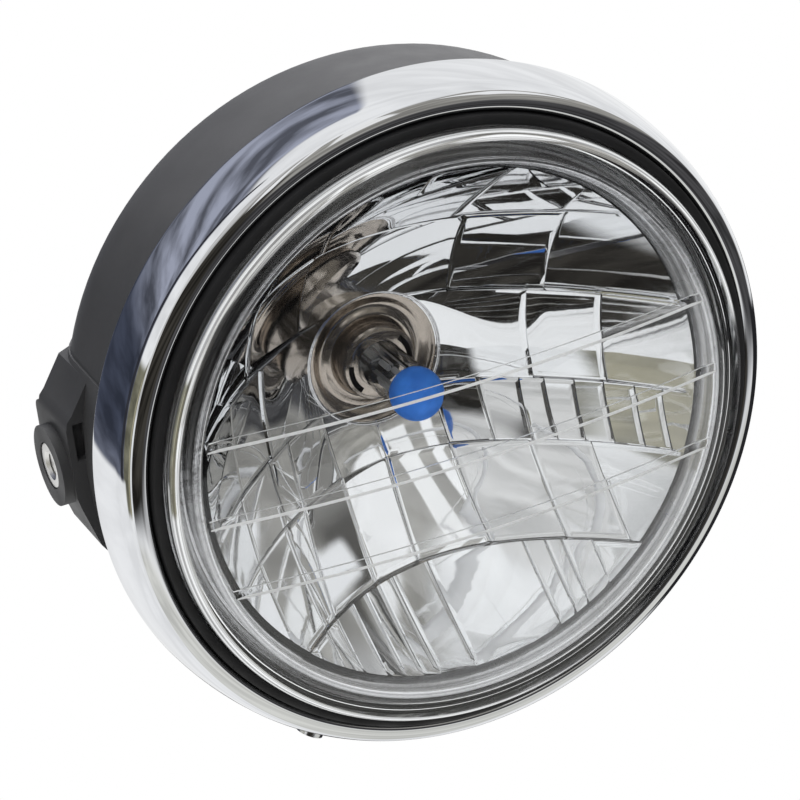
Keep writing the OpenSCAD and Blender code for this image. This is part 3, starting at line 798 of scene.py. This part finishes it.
class HEADLIGHT_OT_glass(Operator):
    """Make the domed glass with its moulded ribs"""
    bl_idname = "headlight.glass"
    bl_label = "Glass"

    def execute(self, context):
        sizes = context.scene.headlight_glass
        glass = make_piece(glass_cover(sizes), "front_glass", "lens",
                           clear_glass("front_glass", sizes.tint), sharp=28.0)
        glass.data.materials.append(glass_edge_reflection(sizes.tint))
        glass.data.materials.append(rib_highlight_paint(sizes.tint))
        glass.visible_shadow = False
        glass.visible_diffuse = False
        return {"FINISHED"}


class HEADLIGHT_OT_mirror(Operator):
    """Make the stepped reflector with its skirt"""
    bl_idname = "headlight.mirror"
    bl_label = "Reflector"

    def execute(self, context):
        sizes = context.scene.headlight_mirror
        piece = make_piece(stepped_mirror(sizes), "stepped_mirror",
                           "reflector", mirror_coat(sizes.tint), sharp=24.0)
        piece.data.materials.append(ringed_metal(sizes.skirt))
        return {"FINISHED"}


class HEADLIGHT_OT_bulb(Operator):
    """Make the bulb's flange, and dress its tube, painted tip, filaments and terminals"""
    bl_idname = "headlight.bulb"
    bl_label = "Bulb"

    def execute(self, context):
        finish = context.scene.headlight_finish
        dress_nodes(["bulb_glass"], clear_glass("bulb_tube", (1.0, 1.0, 1.0), 0.1))
        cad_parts["bulb_glass"].visible_shadow = False
        dress_nodes(["bulb_tip"], tip_lacquer(finish.lacquer))
        nickel = bulb_nickel(finish.nickel)
        dress_nodes(["bulb_collar"], nickel)
        make_piece(dished_flange(), "dished_flange", "bulb_flange", nickel)
        # The shield, filaments and posts take the zinc steel colour made 1.4 times lighter:
        # painted light, so they look brighter inside the bulb.
        dress_nodes(["bulb_shield", "filament_main", "filament_dip", "filament_posts"],
                    plated_steel("lamp_wire", shade(finish.steel, 1.4), 0.4, 0.6, 0.6))
        dress_nodes(["bulb_insulator"], dull_plastic(finish.insulator))
        dress_nodes(["bulb_terminals"], plated_steel("blade_brass", finish.brass))
        return {"FINISHED"}


# Light and dark parts of the room, which all rays but the camera's see; a later row covers an
# earlier one. Start and end azimuth in degrees, from straight behind the lamp round by its right
# to its front at 180; bottom and top, as the upward share of the direction; softness of the side
# edges in degrees and of the bottom and top; how much the colour varies; and the colour.
ROOM = (
    (-180, 180, -1.1, 1.1, 8, 0.05, 0.08, (0.92, 0.925, 0.93)),
    (110, 232, -1.1, -0.52, 12, 0.10, 0.15, (0.70, 0.70, 0.66)),
    (192, 243, -0.05, 0.90, 8, 0.06, 0.22, (0.62, 0.615, 0.605)),
    (95, 198, -0.30, 0.83, 8, 0.08, 0.30, (0.34, 0.33, 0.305)),
    (100, 188, -0.46, 0.16, 8, 0.12, 0.50, (0.065, 0.064, 0.066)),
    (180, 227, -0.46, 0.42, 6, 0.10, 0.55, (0.036, 0.033, 0.028)),
    (108, 141, 0.46, 0.74, 3, 0.03, 0.0, (1.0, 1.0, 1.0)),
    (184, 191, 0.36, 0.86, 2, 0.03, 0.0, (1.0, 1.0, 1.0)),
    (160, 174, 0.44, 0.86, 2, 0.04, 0.05, (0.95, 0.95, 0.94)),
    (245, 290, -0.42, 0.22, 3, 0.05, 0.35, (0.17, 0.165, 0.12)),
    (250, 264, -0.42, 0.16, 3, 0.05, 0.15, (0.37, 0.345, 0.24)),
    (288, 378, -0.30, 0.88, 4, 0.04, 0.60, (0.25, 0.265, 0.325)),
    (288, 378, -0.30, 0.30, 4, 0.34, 0.35, (0.050, 0.058, 0.085)),
    (284, 384, -1.1, -0.29, 4, 0.03, 0.06, (0.92, 0.925, 0.93)),
    (289, 295, -0.29, 0.92, 1, 0.03, 0.20, (0.035, 0.036, 0.045)),
    (13, 114, -0.80, -0.37, 6, 0.04, 0.20, (0.02, 0.02, 0.022)),
)


def world_light():
    """White to the camera; to other rays a white room with darker walls, which chrome shows."""
    world = bpy.data.worlds.new("studio_room")
    bpy.context.scene.world = world
    world.use_nodes = True
    tree = world.node_tree
    link = tree.links.new
    split = tree.nodes.new("ShaderNodeSeparateXYZ")
    way = tree.nodes.new("ShaderNodeTexCoord").outputs["Generated"]
    link(way, split.inputs[0])

    def maths(kind, *values):
        node = tree.nodes.new("ShaderNodeMath")
        node.operation = kind
        for socket, value in zip(node.inputs, values):
            if isinstance(value, float):
                socket.default_value = value
            else:
                link(value, socket)
        return node.outputs[0]

    def step(value, low, high):
        node = tree.nodes.new("ShaderNodeMapRange")
        node.interpolation_type = "SMOOTHSTEP"
        node.inputs["From Min"].default_value = low
        node.inputs["From Max"].default_value = high
        link(value, node.inputs["Value"])
        return node.outputs["Result"]

    streak = tree.nodes.new("ShaderNodeTexNoise")
    streak.inputs["Scale"].default_value = 4.0
    streak.inputs["Detail"].default_value = 5.0
    stretch = tree.nodes.new("ShaderNodeMapping")
    stretch.inputs["Scale"].default_value = (0.6, 0.6, 2.6)
    stretch.inputs["Rotation"].default_value = (0.4, 0.3, 0.0)
    link(way, stretch.inputs["Vector"])
    link(stretch.outputs[0], streak.inputs["Vector"])
    turn = maths("ARCTAN2", split.outputs["X"], split.outputs["Y"])
    around = maths("MULTIPLY", turn, 180 / math.pi)
    height = split.outputs["Z"]
    last = None
    for low, high, foot, top, soft, blur, vary, paint in ROOM:
        off = maths("WRAP", maths("SUBTRACT", around, (low + high) / 2), 180.0, -180.0)
        half = (high - low) / 2
        beside = step(maths("ABSOLUTE", off), half + soft / 2, half - soft / 2)
        inside = maths("MULTIPLY", beside,
                       maths("MULTIPLY", step(height, foot - blur / 2, foot + blur / 2),
                             step(height, top + blur / 2, top - blur / 2)))
        mix = tree.nodes.new("ShaderNodeMix")
        mix.data_type = "RGBA"
        factor, under, over = mix.inputs[0], mix.inputs[6], mix.inputs[7]
        link(inside, factor)
        if last is None:
            under.default_value = (1, 1, 1, 1)
        else:
            link(last, under)
        wall = tree.nodes.new("ShaderNodeValToRGB")
        darker, lighter = wall.color_ramp.elements
        darker.position, lighter.position = 0.38, 0.62
        darker.color = (*shade(paint, 1.0 - vary), 1)
        lighter.color = (*shade(paint, 1.0 + vary), 1)
        link(streak.outputs["Fac"], wall.inputs["Fac"])
        link(wall.outputs["Color"], over)
        last = mix.outputs[2]
    back = tree.nodes["Background"]
    link(last, back.inputs["Color"])
    back.inputs["Strength"].default_value = 1.0
    plain = tree.nodes.new("ShaderNodeBackground")
    plain.inputs["Color"].default_value = (1, 1, 1, 1)
    choose = tree.nodes.new("ShaderNodeMixShader")
    link(tree.nodes.new("ShaderNodeLightPath").outputs["Is Camera Ray"], choose.inputs["Fac"])
    link(back.outputs[0], choose.inputs[1])
    link(plain.outputs[0], choose.inputs[2])
    link(choose.outputs[0], tree.nodes["World Output"].inputs["Surface"])


def floor_material(base):
    """Pale floor: white to the camera and through glass, a soft grey to other light."""
    surface = Surface("pale_floor", base, 0.0, 0.8)
    surface.tint(surface.noise(3, 3), shade(base, 0.98), base)
    path = surface.add("ShaderNodeLightPath").outputs
    seen = path["Is Camera Ray"]
    for kind in ("Is Glossy Ray", "Is Transmission Ray"):
        either = surface.add("ShaderNodeMath", operation="MAXIMUM")
        surface.link(seen, either.inputs[0])
        surface.link(path[kind], either.inputs[1])
        seen = either.outputs[0]
    glow = surface.add("ShaderNodeEmission")
    glow.inputs["Color"].default_value = (1, 1, 1, 1)
    glow.inputs["Strength"].default_value = 1.0
    mix = surface.add("ShaderNodeMixShader")
    surface.link(seen, mix.inputs["Fac"])
    surface.link(surface.shader.outputs[0], mix.inputs[1])
    surface.link(glow.outputs[0], mix.inputs[2])
    surface.link(mix.outputs[0], surface.tree.nodes["Material Output"].inputs["Surface"])
    return surface.material


def area_lamp(name, place, size, watts):
    """A soft lamp that points at the side bolt axis and isn't itself seen in chrome or glass."""
    lamp = bpy.data.lights.new(name, "AREA")
    lamp.shape = "RECTANGLE"
    lamp.size, lamp.size_y = size
    lamp.energy = watts
    thing = bpy.data.objects.new(name, lamp)
    turn = (-Vector(place)).to_track_quat("-Z", "Y").to_matrix().to_4x4()
    thing.matrix_world = Matrix.Translation(place) @ turn
    thing.visible_glossy = thing.visible_transmission = False
    bpy.context.scene.collection.objects.link(thing)


# Lamps: name, place and power in watts.
LAMPS = (("top_lamp", (0.35, 0.5, 1.5), 12.0), ("back_lamp", (0.55, 1.0, 0.95), 58.0),
         ("key_lamp", (-1.0, -1.0, 1.3), 6.0))
LAMP_SIZE = (0.9, 0.7)
FLOOR_HEIGHT, FLOOR_REACH = -0.75, 1.7
# The photo's camera: the point it looks at, its azimuth, elevation and roll, its distance, and
# its lens on a 36 mm sensor.
LOOK_AT = (-0.0193, -0.058, 0.018)
CAMERA_ANGLES = (-22.21, 26.18, 7.04)
DISTANCE = 0.9
LENS = 152.0


class HEADLIGHT_OT_stage(Operator):
    """Set the floor, the studio light and the camera"""
    bl_idname = "headlight.stage"
    bl_label = "Stage"

    def execute(self, context):
        scene = context.scene
        mesh = bmesh.new()
        bmesh.ops.create_grid(mesh, x_segments=2, y_segments=2, size=FLOOR_REACH)
        bmesh.ops.translate(mesh, verts=mesh.verts[:], vec=(0, 0, FLOOR_HEIGHT))
        data = bpy.data.meshes.new("studio_floor")
        mesh.to_mesh(data)
        mesh.free()
        floor = bpy.data.objects.new("studio_floor", data)
        scene.collection.objects.link(floor)
        data.materials.append(floor_material(scene.headlight_finish.floor))
        floor.visible_glossy = False
        world_light()
        for name, place, watts in LAMPS:
            area_lamp(name, place, LAMP_SIZE, watts)
        azimuth, elevation, roll = (math.radians(angle) for angle in CAMERA_ANGLES)
        toward = Vector((math.sin(azimuth) * math.cos(elevation),
                         -math.cos(azimuth) * math.cos(elevation), math.sin(elevation)))
        right = Vector((0, 0, 1)).cross(toward).normalized()
        above = toward.cross(right)
        axis_x = math.cos(roll) * right - math.sin(roll) * above
        axis_y = math.sin(roll) * right + math.cos(roll) * above
        lens = bpy.data.cameras.new("photo_camera")
        lens.sensor_width = 36.0
        lens.lens = LENS
        lens.clip_end = 50.0
        camera = bpy.data.objects.new("photo_camera", lens)
        turn = Matrix((axis_x, axis_y, toward)).transposed().to_4x4()
        camera.matrix_world = Matrix.Translation(Vector(LOOK_AT) + toward * DISTANCE) @ turn
        scene.collection.objects.link(camera)
        scene.camera = camera
        scene.view_settings.view_transform = "Standard"
        return {"FINISHED"}


class HEADLIGHT_PT_panel(Panel):
    bl_idname = "HEADLIGHT_PT_panel"
    bl_label = "Headlight"
    bl_space_type = "VIEW_3D"
    bl_region_type = "UI"
    bl_category = "Headlight"

    def draw(self, context):
        for kind in STEPS:
            self.layout.operator(kind.bl_idname)
        for name in GROUPS:
            box = self.layout.box()
            group = getattr(context.scene, name)
            for key in type(group).__annotations__:
                box.prop(group, key)


GROUPS = {"headlight_rim": HEADLIGHT_PG_rim, "headlight_glass": HEADLIGHT_PG_glass,
          "headlight_mirror": HEADLIGHT_PG_mirror, "headlight_finish": HEADLIGHT_PG_finish}
STEPS = (HEADLIGHT_OT_bucket, HEADLIGHT_OT_rim, HEADLIGHT_OT_glass, HEADLIGHT_OT_mirror,
         HEADLIGHT_OT_bulb, HEADLIGHT_OT_stage)
CLASSES = (*GROUPS.values(), *STEPS, HEADLIGHT_PT_panel)


def register():
    for kind in CLASSES:
        bpy.utils.register_class(kind)
    for name, kind in GROUPS.items():
        setattr(bpy.types.Scene, name, PointerProperty(type=kind))


def unregister():
    for name in GROUPS:
        delattr(bpy.types.Scene, name)
    for kind in reversed(CLASSES):
        bpy.utils.unregister_class(kind)


def main():
    register()
    bpy.ops.headlight.bucket()
    bpy.ops.headlight.rim()
    bpy.ops.headlight.glass()
    bpy.ops.headlight.mirror()
    bpy.ops.headlight.bulb()
    bpy.ops.headlight.stage()


if __name__ == "__main__":
    main()
